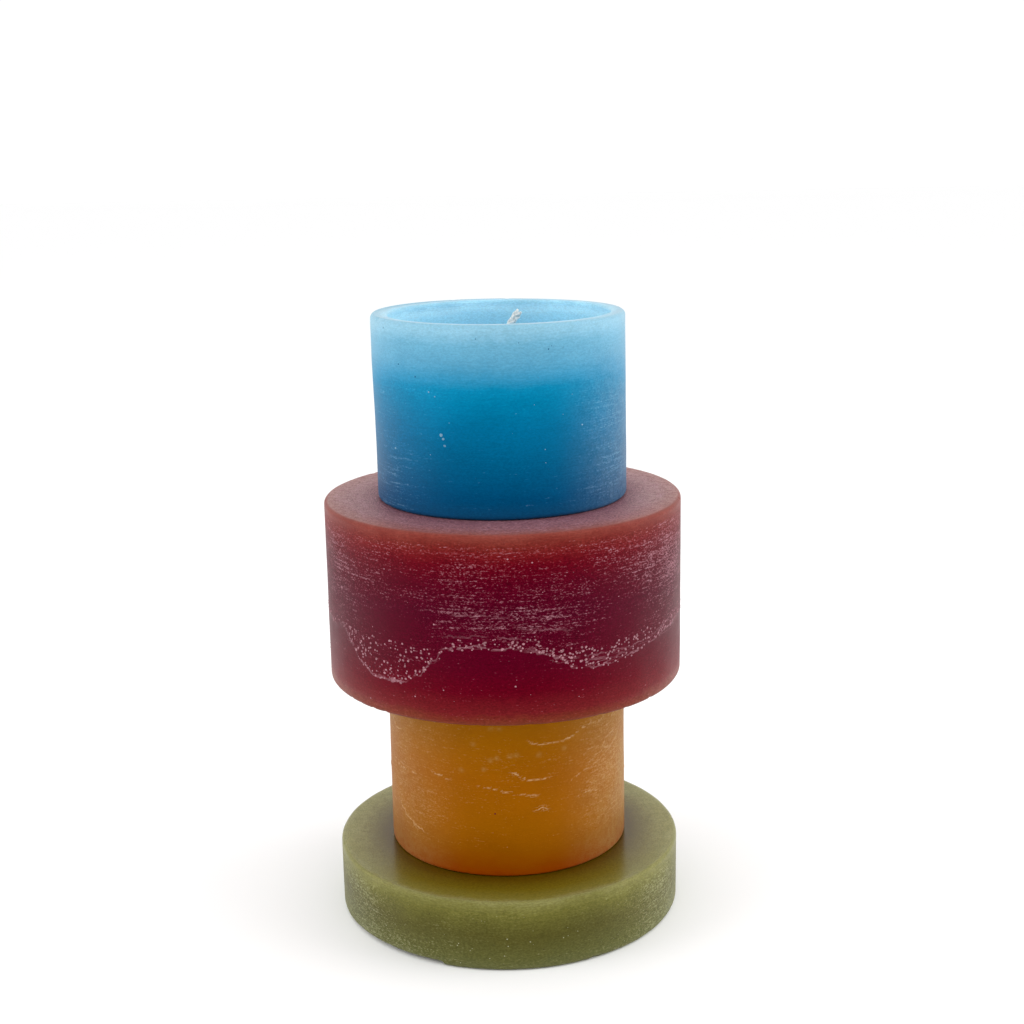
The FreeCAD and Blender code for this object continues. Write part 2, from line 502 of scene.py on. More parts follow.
def wax_material(name, skin, stops, *, frost, streaks, bite, haze_and_sheen, haze_and_sheen_strength, seams, grains, sway, wander,
                 gloss, shine, tint, glow):
    """Cast wax. Its colour goes by the place along the block's section, and the mesh's fields say where
    it is frosted, has haze or is seamed. Frosted wax is paler, rougher and slightly sunk. The haze is
    partly frosty bloom and partly painted sheen, the paleness that grazing light gives the flanks.
    stops are (radius, height, colour) in order along the section. frost is the colour of the frost in
    streaks and seams, with streaks and seams for how strongly each covers the wax, and bite for how much
    denser the streaks lie in well frosted wax. The haze colour is that of the even haze and painted
    sheen, and the haze strength follows it. grains are the shares of crumbs, short threads and long
    hairs in the streaks, sway how far the grain lightens and darkens plain and frosted wax, and wander
    how far the colours' boundaries wander, as a share of the section."""
    s = Shader(name)
    run = s.field("run")
    x_y = s.add("ShaderNodeSeparateXYZ")
    s.feed(x_y.inputs[0], s.here)

    def round_the_block(per_metre, across_per_metre):
        """Coordinates that follow the skin: one measure round the block, another along its section."""
        node = s.add("ShaderNodeCombineXYZ")
        s.feed(node.inputs[0], s.times(x_y.outputs[0], per_metre))
        s.feed(node.inputs[1], s.times(x_y.outputs[1], per_metre))
        s.feed(node.inputs[2], s.times(run, across_per_metre))
        return node.outputs[0]

    hair = s.noise(round_the_block(52, 1700), 1.0, 2.0, 0.6)
    thread = s.noise(round_the_block(360, 2600), 1.0, 2.0, 0.6)
    crumb = s.noise(round_the_block(1450, 2700), 1.0, 2.0, 0.65)
    cloud = s.noise(s.here, 70.0, 4.0, 0.6)
    smudge = s.noise(s.here, 520.0, 2.0, 0.5)
    broken = s.plus(s.times(crumb, grains[0]), s.times(thread, grains[1]))
    broken = s.plus(broken, s.times(hair, grains[2]))
    cover = s.field("frost")

    # The colour along the section, its boundaries a little ragged, lightened and darkened by the streaks.
    place_in_run = s.times(run, 1000.0 / skin.length)
    ragged = s.plus(s.rise(cloud, *MIDDLE, -wander, wander),
                    s.rise(thread, *MIDDLE, -0.6 * wander, 0.6 * wander))
    colour = s.ramp(s.plus(place_in_run, ragged),
                    [(skin.along(reach, height), tint_here) for reach, height, tint_here in stops])
    soft = s.rise(cloud, *MIDDLE, 0.96, 1.04)
    mealy = s.plus(s.times(crumb, 0.5), s.times(broken, 0.5))
    reach_of_sway = s.rise(cover, 0.0, 0.8, sway[0], sway[1])
    swing = s.times(s.rise(mealy, 0.34, 0.66, -1.0, 1.0), reach_of_sway)
    colour = s.mix(1.0, colour, s.times(soft, s.plus(swing, 1.0)), blend="MULTIPLY")

    # Frost in fine level streaks, soft at their ends, with faint smudges of even haze between them; the haze
    # is partly frosty bloom and partly painted sheen.
    bare_threshold, streak_edge = 0.655, 0.17
    excess = s.minus(broken, s.minus(bare_threshold, s.times(cover, bite)))
    streak = s.times(s.rise(excess, 0.0, streak_edge), s.rise(cover, 0.0, 0.12))
    even = s.plus(s.rise(smudge, 0.35, 0.65, 0.75, 1.25), s.rise(mealy, 0.36, 0.64, -0.35, 0.35))
    even = s.times(even, s.times(s.field("haze_and_sheen"), haze_and_sheen_strength))
    even = s.math("MINIMUM", even, 0.9)

    # Seams between two pours, as thin wandering lines that come and go.
    gap = s.plus(s.field("seam_gap"), s.rise(thread, *MIDDLE, -0.14, 0.14))
    gap = s.plus(gap, s.rise(smudge, *MIDDLE, -0.3, 0.3))
    seam = s.rise(s.times(gap, gap), 0.004, 0.10, 1.0, 0.0)
    seam = s.times(seam, s.times(s.field("seam"), s.rise(crumb, 0.34, 0.54, 0.45, 1.0)))

    # A few very small flecks.
    distance, which = s.cells(s.here, 620.0)
    fleck = s.rise(s.minus(s.times(which, 0.13), distance), -0.02, 0.05)
    fleck = s.times(fleck, s.rise(cover, 0.02, 0.6, 0.06, 0.45))

    pale = s.times(s.math("MAXIMUM", streak, fleck), streaks)
    pale = s.math("MAXIMUM", pale, s.times(seam, seams))
    colour = s.mix(even, colour, (*haze_and_sheen, 1.0))
    colour = s.mix(pale, colour, (*frost, 1.0))
    s.feed(s.surface.inputs["Base Color"], colour)

    rough = s.minus(s.rise(cloud, *MIDDLE, gloss, gloss + 0.06), s.times(s.field("polish"), 0.16))
    s.feed(s.surface.inputs["Roughness"], s.plus(rough, s.times(cover, 0.18)))
    fine = s.noise(round_the_block(420, 1500), 1.0, 5.0, 0.65)
    relief = s.minus(s.times(fine, 0.5), s.times(streak, 0.3))
    relief = s.plus(relief, s.times(seam, 0.6))
    relief = s.times(relief, s.minus(1.0, s.times(s.field("polish"), 0.8)))
    s.feed(s.surface.inputs["Normal"], s.bump(relief, distance=0.00012, strength=0.7))
    s.feed(s.surface.inputs["Subsurface Weight"], glow)
    s.feed(s.surface.inputs["Subsurface Radius"], (1.0, 0.8, 0.6))
    s.feed(s.surface.inputs["Subsurface Scale"], 0.0012)
    s.feed(s.surface.inputs["Specular IOR Level"], shine)
    s.feed(s.surface.inputs["Specular Tint"], (*tint, 1.0))
    s.feed(s.surface.inputs["IOR"], 1.45)
    return s.material


def bloom_material(name, dark, edge, pale):
    """Small round blooms and bubble marks: pale in the middle, or dark where the tone is 0."""
    s = Shader(name)
    mottle = s.noise(s.here, 2200.0, 3.0, 0.6)
    middle = s.plus(s.field("middle"), s.rise(mottle, *MIDDLE, -0.25, 0.25))
    bright = s.mix(s.rise(middle, 0.0, 0.55), (*edge, 1.0), (*pale, 1.0))
    colour = s.mix(s.field("tone"), (*dark, 1.0), bright)
    s.feed(s.surface.inputs["Base Color"], colour)
    s.feed(s.surface.inputs["Roughness"], s.rise(mottle, *MIDDLE, 0.5, 0.65))
    s.feed(s.surface.inputs["Normal"], s.bump(mottle, distance=0.00005, strength=0.5))
    s.feed(s.surface.inputs["Specular IOR Level"], 0.15)
    return s.material


def cotton_material(name):
    """Bleached cotton stiffened with wax: nearly white strands and fine fibres, over a grey core that is
    painted shade in the braid's hollows.
    """
    s = Shader(name)
    fibre = s.noise(s.stretched(2600, 2600, 900), 1.0, 4.0, 0.7)
    blotch = s.noise(s.here, 420.0, 3.0, 0.6)
    strand = s.ramp(fibre, [(0.3, rgb(176, 182, 182)), (0.5, rgb(214, 217, 214)), (0.75, rgb(240, 240, 236))])
    colour = s.mix(s.rise(blotch, 0.35, 0.7, 0.0, 0.35), strand, (*rgb(188, 196, 200), 1))
    # The core is painted grey where the strand field is 0: painted shade in the hollows between the strands.
    colour = s.mix(s.field("strand"), (*rgb(120, 126, 128), 1), colour)
    s.feed(s.surface.inputs["Base Color"], colour)
    s.feed(s.surface.inputs["Roughness"], s.rise(fibre, *MIDDLE, 0.62, 0.9))
    s.feed(s.surface.inputs["Normal"], s.bump(fibre, distance=0.00008, strength=0.9))
    s.feed(s.surface.inputs["Sheen Weight"], 0.25)
    s.feed(s.surface.inputs["Sheen Roughness"], 0.5)
    return s.material


def tinned_material(name):
    """Tinned sheet steel, rolled: fine scratches one way, soft stains and a satin shine."""
    s = Shader(name)
    rolled = s.noise(s.stretched(240, 5200, 240), 1.0, 4.0, 0.6)
    stain = s.noise(s.here, 260.0, 4.0, 0.6)
    greys = [(0.25, rgb(150, 149, 146)), (0.55, rgb(196, 197, 197)), (0.8, rgb(214, 215, 214))]
    colour = s.ramp(stain, greys)
    colour = s.mix(s.rise(rolled, *MIDDLE, 0.0, 0.3), colour, (*rgb(128, 129, 130), 1))
    s.feed(s.surface.inputs["Base Color"], colour)
    s.feed(s.surface.inputs["Metallic"], 1.0)
    s.feed(s.surface.inputs["Roughness"], s.rise(stain, 0.3, 0.75, 0.24, 0.46))
    s.feed(s.surface.inputs["Normal"], s.bump(rolled, distance=0.00003, strength=0.7))
    return s.material


# ---------------------------------------------------------------- the four blocks

def new_skin(node, edge, hollow_r, hollow_depth, mouth_round, seed, side_step, top_step):
    """A block's skin from its CAD node's box, and the height of the node's bottom face."""
    low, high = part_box(node)
    base = low.z / MM
    height = (high.z - low.z) / MM
    radius = (high.x - low.x) / MM / 2
    section = block_section(radius, height, edge, hollow_r, hollow_depth, mouth_round, side_step, top_step)
    return Skin(section, radius, height, seed), base


def block_piece(name, skin, base, frost, haze_and_sheen, seams=None, polish=None):
    """The block's mesh, with the fields that its material reads."""
    if seams is None:
        seams = np.full_like(frost, NO_SEAM_NEAR), np.zeros_like(frost)
    if polish is None:
        polish = np.zeros_like(frost)
    fields = {
        "run": skin.run * MM,
        "frost": np.clip(frost, 0, 1),
        "haze_and_sheen": np.clip(haze_and_sheen, 0, 1),
        "seam_gap": seams[0],
        "seam": seams[1],
        "polish": polish,
    }
    return lathe_mesh(name, skin, base, fields)


def scattered(seed, count, low, high, smallest, largest, tone=1.0):
    """Specks spread by chance all round a block's side, between two heights."""
    chance = random.Random(seed)
    return [(chance.uniform(-180, 180), chance.uniform(low, high),
             smallest + (largest - smallest) * chance.random() ** 2, tone) for _ in range(count)]


def make_disc():
    """The green disc at the bottom of the stack: mealy, with a flake gone from its lower edge."""
    skin, base = new_skin("disc_wax", EDGE_ROUND, RECESS_R, RECESS_DEPTH, MOUTH_ROUND,
                          seed=1, side_step=0.4, top_step=0.62)
    cast_skin(skin, wave=0.10, worn=0.30)
    pool_round_wick(skin, skin.total - RECESS_DEPTH, climb=0.8, dish=0.15)
    # A long thin flake has come off the bottom edge: it ends in a step a little left of the front.
    gap = turn_gap(skin.azimuth, -22)
    flake = smooth(gap, -62, -20) * smooth(-gap, -0.2, 0.9)
    near_edge = smooth(skin.reach, skin.radius - 6, skin.radius - 4)
    flake_depth = 0.85
    skin.lift += flake * flake_depth * smooth(-skin.height, -2.6, 0) * near_edge
    patchy = grain(skin.points, 14.0, 31)
    flanks = smooth(np.abs(turn_gap(skin.azimuth, 0)), 25, 60)
    # Frost grows from the front towards the flanks, partly as painted sheen: the paleness that grazing light
    # gives there.
    frost = 0.16 + 0.20 * flanks + 0.18 * patchy + 0.18 * smooth(-skin.height, -9, -2)
    frost += 0.34 * patch(skin, 60, 13, 22, 7) + 0.24 * patch(skin, -62, 12, 18, 12)
    frost += 0.25 * patch(skin, 150, 9, 40, 6)
    frost *= skin.side * smooth(-skin.height, -19.2, -16.5)
    # The haze is partly bloom that follows the frost and partly painted sheen: along the right flank, in a
    # patch on the left flank, and on the top towards the sides as a painted reflection of the pale backdrop.
    aside = smooth(np.abs(turn_gap(skin.azimuth, 0)), 35, 90)
    right = smooth(skin.azimuth, 22, 58) * smooth(-skin.azimuth, -150, -100)
    haze_and_sheen = 0.4 * frost + skin.side * 0.26 * right
    haze_and_sheen += 0.30 * patch(skin, -96, 10, 24, 12) * (1 + 0.6 * patchy)
    haze_and_sheen += skin.top * aside * smooth(skin.reach, 35, 46)
    piece = block_piece("disc_block", skin, base, frost, haze_and_sheen, polish=skin.top)
    r = skin.radius
    # The side is lighter towards its top edge: painted glow of light that enters the top face and comes out
    # near the edge. On the top, the wax darkens and turns orange towards the pillar: painted shade and a
    # painted reflection of the pillar, kept mild where the pillar covers it.
    stops = [
        (r, 1.1, rgb(90, 92, 55)), (r, 4, rgb(83, 83, 42)), (r, 10, rgb(76, 72, 29)),
        (r, 13.5, rgb(87, 84, 35)), (r, 16.5, rgb(101, 98, 43)), (r, 18.6, rgb(117, 114, 61)),
        (r - 0.5, 20, rgb(128, 125, 77)),
        (r - 2.2, 20, rgb(112, 107, 44)), (r - 7, 20, rgb(99, 88, 18)), (r - 14, 20, rgb(80, 61, 3)),
        (RECESS_R + 1, 20, rgb(84, 68, 8)), (RECESS_R, 14, rgb(84, 76, 20)), (2, 12, rgb(80, 76, 22)),
        (TAB_POCKET_R, 0.5, rgb(86, 84, 36)),
    ]
    look = wax_material("disc_wax_look", skin, stops,
                        frost=rgb(162, 162, 126), streaks=0.58, bite=0.32,
                        haze_and_sheen=rgb(182, 182, 120), haze_and_sheen_strength=0.24, seams=0,
                        grains=(0.56, 0.26, 0.18), sway=(0.16, 0.32), wander=0.005, gloss=0.36, shine=0.6,
                        tint=(0.18, 0.15, 0.03), glow=0.2)
    spots = scattered(11, 110, 1.5, 11.0, 0.08, 0.24) + scattered(12, 40, 10.0, 17.0, 0.07, 0.18)
    spots += scattered(14, 60, 2.0, 15.0, 0.08, 0.22, tone=0.0)
    bloom = bloom_material("disc_fleck_look", rgb(66, 60, 20), rgb(104, 102, 58), rgb(160, 160, 126))
    return piece, look, speck_mesh("disc_flecks", skin, base, spots, seed=13), bloom


def make_pillar():
    """The amber pillar, with the lines of its pours."""
    skin, base = new_skin("pillar_wax", PILLAR_EDGE_ROUND, RECESS_R, RECESS_DEPTH, MOUTH_ROUND,
                          seed=2, side_step=0.4, top_step=0.7)
    cast_skin(skin, wave=0.10, worn=0.18)
    pool_round_wick(skin, skin.total - RECESS_DEPTH, climb=0.8, dish=0.15)
    # Where one pour of wax met the next, half set, it left wandering lines. These are on the front.
    pours = [
        [(9.5, 39.6), (11, 38.7), (14, 38.3), (20, 38.2), (27, 38.3), (32, 39.2), (37, 40.6), (44, 41.4)],
        [(1, 30.9), (5, 29.7), (8, 28.5), (12, 28.0), (17, 28.2), (23, 28.5)],
        [(-14, 26.6), (-8, 26.0), (-3, 25.4), (2, 24.6), (8, 24.0), (14, 23.8)],
        [(12, 19.2), (16, 19.8), (19, 19.0)],
        [(38, 24.6), (44, 23.4), (50, 23.2), (56, 24.4), (63, 25.8)],
        [(30, 26.0), (36, 27.8), (42, 28.2), (49, 29.5), (55, 31.0), (62, 32.6), (68, 34.8)],
        [(42, 42.2), (47, 40.2), (51, 41.6), (55, 42.8), (60, 43.2), (66, 43.6)],
        [(34, 21.0), (41, 21.6), (48, 20.6)],
        [(-76, 41.0), (-70, 38.2), (-66, 36.8), (-60, 37.4)],
        [(-70, 27.0), (-62, 25.8), (-55, 26.6), (-48, 26.0)],
        [(-66, 16.0), (-58, 12.4), (-50, 10.4), (-42, 9.6)],
        [(-38, 28.6), (-32, 28.0), (-28, 27.2)],
    ]
    # The sides and the back carry more of them, drawn by chance.
    chance = random.Random(7)
    for _ in range(22):
        azimuth = chance.uniform(80, 280)
        height = chance.uniform(8, 45)
        knots = [(azimuth, height)]
        for _ in range(chance.randint(2, 6)):
            azimuth += chance.uniform(3, 7)
            height += chance.uniform(-1.3, 1.3)
            knots.append((azimuth, height))
        pours.append(knots)
    # On the right of the front they lie close together and climb.
    for _ in range(13):
        azimuth = chance.uniform(36, 66)
        height = chance.uniform(20, 42)
        knots = [(azimuth, height)]
        for _ in range(chance.randint(1, 3)):
            azimuth += chance.uniform(3, 6)
            height += chance.uniform(-0.4, 2.2)
            knots.append((azimuth, height))
        pours.append(knots)
    gap, strength = seam_fields(skin, pours)
    strength *= np.clip(1.0 + 0.7 * grain(skin.points, 3.0, 43), 0.35, 1)
    strength *= 1 - 0.35 * smooth(skin.azimuth, 34, 44) * smooth(-skin.azimuth, -80, -70)
    skin.push += np.exp(-(gap / 0.5) ** 2) * strength * 0.12
    patchy = grain(skin.points, 9.0, 42)
    flanks = smooth(np.abs(turn_gap(skin.azimuth, 0)), 20, 62)
    # Frost grows from the front towards the flanks, partly as painted sheen: the paleness that grazing light
    # gives there.
    frost = 0.24 + 0.24 * flanks + 0.16 * patchy + 0.20 * np.exp(-(gap / 1.6) ** 2)
    frost += 0.26 * patch(skin, 56, 24, 20, 14) + 0.20 * patch(skin, -56, 16, 24, 13)
    frost += 0.14 * patch(skin, -2, 33, 22, 3.5) - 0.1 * patch(skin, 0, 13, 22, 7)
    frost *= skin.side * smooth(skin.height, 2, 10)
    # Most of the haze here is painted sheen: it grows from the front towards the flanks, more on the right
    # where a lamp is reflected, low down on the flanks and in a broad patch on the right flank. Small pale
    # spots on the front are added to it as well.
    right = 0.5 + 0.5 * np.sin(np.radians(skin.azimuth))
    haze_and_sheen = flanks * (0.30 + 0.24 * right + 0.12 * patchy + 0.08 * smooth(-skin.height, -30, -12))
    haze_and_sheen += 0.25 * flanks * smooth(-skin.height, -9, -4)
    haze_and_sheen += 0.95 * patch(skin, 92, 22, 22, 13) * (1 + 0.6 * patchy)
    for azimuth, height in ((-8, 34.2), (-5, 34.8), (1, 35.4), (4, 35.6), (14.5, 35.2), (27, 36.0),
                            (-16, 38.6), (-7.5, 43.4), (-3.5, 43.4), (-22, 30.8), (-11, 31.6)):
        haze_and_sheen += 0.55 * patch(skin, azimuth, height, 1.2, 0.65)
    piece = block_piece("pillar_block", skin, base, frost, haze_and_sheen * skin.side, (gap, strength))
    r = skin.radius
    stops = [
        (r, 0.6, rgb(146, 61, 0)), (r, 3, rgb(138, 66, 0)), (r, 8, rgb(136, 76, 0)), (r, 14, rgb(142, 82, 0)),
        (r, 28, rgb(143, 81, 1)), (r, 40, rgb(142, 85, 1)), (r, 49.4, rgb(143, 88, 5)),
        (r - 6, 50, rgb(148, 86, 6)), (RECESS_R + 1, 50, rgb(144, 82, 4)), (RECESS_R, 44, rgb(136, 72, 2)),
        (2, 42, rgb(130, 64, 1)), (TAB_POCKET_R, 0.5, rgb(132, 68, 3)),
    ]
    look = wax_material("pillar_wax_look", skin, stops,
                        frost=rgb(196, 158, 112), streaks=0.32, bite=0.22,
                        haze_and_sheen=rgb(182, 162, 104), haze_and_sheen_strength=0.26, seams=0.72,
                        grains=(0.45, 0.35, 0.20), sway=(0.02, 0.06), wander=0.005, gloss=0.40, shine=0.42,
                        tint=(0.60, 0.24, 0.0), glow=0.22)
    spots = scattered(21, 44, 4, 46, 0.08, 0.20, tone=0.7) + [(-6.3, 18.7, 0.26, 0.0)]
    bloom = bloom_material("pillar_fleck_look", rgb(92, 10, 22), rgb(150, 92, 20), rgb(176, 124, 72))
    return piece, look, speck_mesh("pillar_flecks", skin, base, spots, seed=23), bloom


# The lower edge of the drum's frosted zone, as (azimuth, height) all the way round.
DRUM_FROST_EDGE = [
    (-170, 14), (-150, 17), (-128, 22), (-105, 24), (-85, 21), (-70, 19.5), (-61, 20.5), (-56, 17.0),
    (-51, 12.2), (-44, 9.9), (-34, 9.5), (-27, 12), (-22, 17), (-18, 20.3), (-8, 21.3), (2, 21),
    (10, 19.6), (16, 17.2), (21, 14.6), (28, 13.9), (38, 14.3), (50, 16.0), (61, 17.6), (76, 19),
    (95, 16), (115, 18.5), (135, 23), (155, 20), (172, 14.5),
]


# Paler lines above that edge on the front, the same way.
DRUM_LINES = [
    [(6, 20.4), (12, 19.0), (18, 17.9), (26, 17.4), (34, 17.3), (42, 17.2), (50, 17.9), (60, 19.6),
     (68, 21.0)],
    [(-18, 24.0), (-8, 24.4), (2, 23.8), (10, 22.6)],
    [(24, 15.9), (32, 15.7), (40, 15.9)],
    [(-16, 29.6), (-8, 30.0), (0, 29.4)],
    [(4, 26.4), (12, 25.8), (20, 25.0)],
]


def drum_blooms():
    """Round blooms: a chain along the frosted zone's lower edge, fields of them above its two low lobes,
    and a few strays."""
    chance = random.Random(31)
    spots = []
    row_step, turn_step = 1.2, 1.45
    azimuth = -180.0
    while azimuth < 180:
        edge = float(round_curve(np.array([azimuth]), DRUM_FROST_EDGE)[0])
        dense = -60 < azimuth < -24 or 8 < azimuth < 64 or not -80 < azimuth < 80
        for row in range(3 if dense else 2):
            if chance.random() < (0.72, 0.45, 0.3)[row]:
                at = azimuth + chance.uniform(-0.7, 0.7)
                height = edge + row * row_step + chance.uniform(-0.4, 1.0)
                spots.append((at, height, chance.uniform(0.20, 0.42), chance.uniform(0.6, 1.0)))
        azimuth += turn_step
    fields = ((-57, -22, 11, 21, 120), (8, 46, 15, 20, 90), (-14, 12, 21, 24, 34), (46, 76, 17, 21, 40),
              (118, 150, 20, 27, 60), (-172, -148, 15, 22, 45))
    for left, right, low, high, count in fields:
        for _ in range(count):
            azimuth = chance.uniform(left, right)
            edge = float(round_curve(np.array([azimuth]), DRUM_FROST_EDGE)[0])
            height = chance.uniform(max(low, edge), high)
            spots.append((azimuth, height, chance.uniform(0.18, 0.40), chance.uniform(0.5, 1.0)))
    return spots + scattered(32, 110, 3, 46, 0.08, 0.30)


def make_drum():
    """The burgundy drum: frosted in streaks down to a wandering edge, and clear below it."""
    skin, base = new_skin("drum_wax", EDGE_ROUND, RECESS_R, RECESS_DEPTH, MOUTH_ROUND,
                          seed=3, side_step=0.42, top_step=0.66)
    cast_skin(skin, wave=0.12, worn=0.30)
    pool_round_wick(skin, skin.total - RECESS_DEPTH, climb=0.8, dish=0.15)
    patchy = grain(skin.points, 12.0, 51)
    small = grain(skin.points, 3.5, 52)
    edge = round_curve(skin.azimuth, DRUM_FROST_EDGE) + 0.7 * small
    above = skin.height - edge
    body = smooth(above, -0.3, 0.9) * smooth(-skin.height, -(skin.total - 1.0), -(skin.total - 4.0))
    lip = np.exp(-((above - 1.0) / 1.1) ** 2)
    frost = 0.46 + 0.12 * patchy + 0.08 * small + 0.03 * lip
    frost += 0.17 * patch(skin, 4, 29.5, 21, 5.5) + 0.05 * patch(skin, 28, 21, 20, 3.0)
    frost += 0.34 * patch(skin, 60, 39, 24, 11)
    frost += 0.24 * patch(skin, -38, 34, 13, 3.0) + 0.14 * patch(skin, -62, 39, 20, 10)
    frost += 0.40 * patch(skin, 165, 30, 22, 6) + 0.35 * patch(skin, -125, 33, 20, 8)
    frost -= 0.22 * patch(skin, -34, 26, 11, 3.6) + 0.14 * patch(skin, 46, 24, 10, 2.6)
    frost -= 0.25 * patch(skin, 110, 26, 18, 5)
    frost -= 0.24 * patch(skin, -37, 28, 12, 12) + 0.24 * patch(skin, 37, 28, 12, 12)
    frost -= 0.09 * np.exp(-((above - 2.0) / 2.2) ** 2)
    frost *= body * skin.side
    frost = np.maximum(frost, 0.24 * skin.side * smooth(-above, 0.0, 2.0))
    outer_edge = smooth(-skin.reach, -skin.radius, 3 - skin.radius)
    frost = np.maximum(frost, skin.top * (0.64 + 0.2 * small) * outer_edge)
    # The haze is painted reflection and sheen: on the top towards the sides a painted reflection of the pale
    # backdrop, a little all over the top, patches on the flanks stronger on the right where a lamp is
    # reflected, and a band low on the sides.
    aside = smooth(np.abs(turn_gap(skin.azimuth, 0)), 20, 100)
    haze_and_sheen = skin.top * (0.15 + 0.85 * aside * smooth(skin.reach, 33, 43))
    flank_sheen = 0.24 * patch(skin, 92, 26, 26, 24) + 0.12 * patch(skin, -92, 26, 26, 24)
    haze_and_sheen += flank_sheen * (1 + 0.9 * small) + 0.35 * skin.side * aside * smooth(-skin.height, -5, -2)
    # A pale line runs along the frosted zone's edge, and shorter ones lie above it.
    strength = np.clip(0.45 + 0.9 * grain(skin.points, 6.0, 54), 0, 0.9) * skin.side
    strength *= smooth(-np.abs(above), -1.4, -0.8)
    gap = above - 0.3
    line_gap, line_strength = seam_fields(skin, DRUM_LINES)
    nearer = np.abs(line_gap) < np.abs(gap)
    gap = np.where(nearer, line_gap, gap)
    come_and_go = np.clip(0.7 + 1.4 * grain(skin.points, 4.0, 55), 0, 1)
    strength = np.where(nearer, 0.45 * line_strength * come_and_go, strength)
    skin.push -= 0.05 * frost * skin.side * np.clip(grain(skin.points, 5.0, 53, stretch=6.0), 0, 1)
    piece = block_piece("drum_block", skin, base, frost, haze_and_sheen, (gap, strength))
    r = skin.radius
    # The side is lighter and browner towards its top and bottom edges: painted glow of light coming through
    # the wax at the edges.
    stops = [
        (r, 1.1, rgb(110, 48, 30)), (r, 3.5, rgb(103, 24, 27)), (r, 9, rgb(88, 0, 18)),
        (r, 16, rgb(77, 0, 21)), (r, 30, rgb(72, 0, 25)), (r, 38, rgb(79, 0, 21)),
        (r, 43, rgb(91, 2, 17)), (r, 46, rgb(105, 21, 23)),
        (r, 48.5, rgb(111, 40, 33)), (r - 0.4, 51, rgb(127, 61, 51)), (r - 2.5, 51, rgb(128, 70, 64)),
        (r - 7, 51, rgb(122, 76, 82)), (r - 15, 51, rgb(112, 70, 82)), (RECESS_R + 1, 51, rgb(104, 50, 62)),
        (RECESS_R, 45, rgb(92, 8, 22)), (2, 43, rgb(88, 4, 20)), (TAB_POCKET_R, 0.5, rgb(104, 10, 24)),
    ]
    look = wax_material("drum_wax_look", skin, stops,
                        frost=rgb(166, 122, 132), streaks=0.80, bite=0.26,
                        haze_and_sheen=rgb(205, 170, 164), haze_and_sheen_strength=0.38, seams=0.75,
                        grains=(0.52, 0.24, 0.24), sway=(0.14, 0.46), wander=0.003, gloss=0.42, shine=0.36,
                        tint=(0.45, 0.0, 0.04), glow=0.15)
    bloom = bloom_material("drum_bloom_look", rgb(64, 0, 12), rgb(122, 58, 72), rgb(170, 124, 132))
    return piece, look, speck_mesh("drum_blooms", skin, base, drum_blooms(), seed=33), bloom


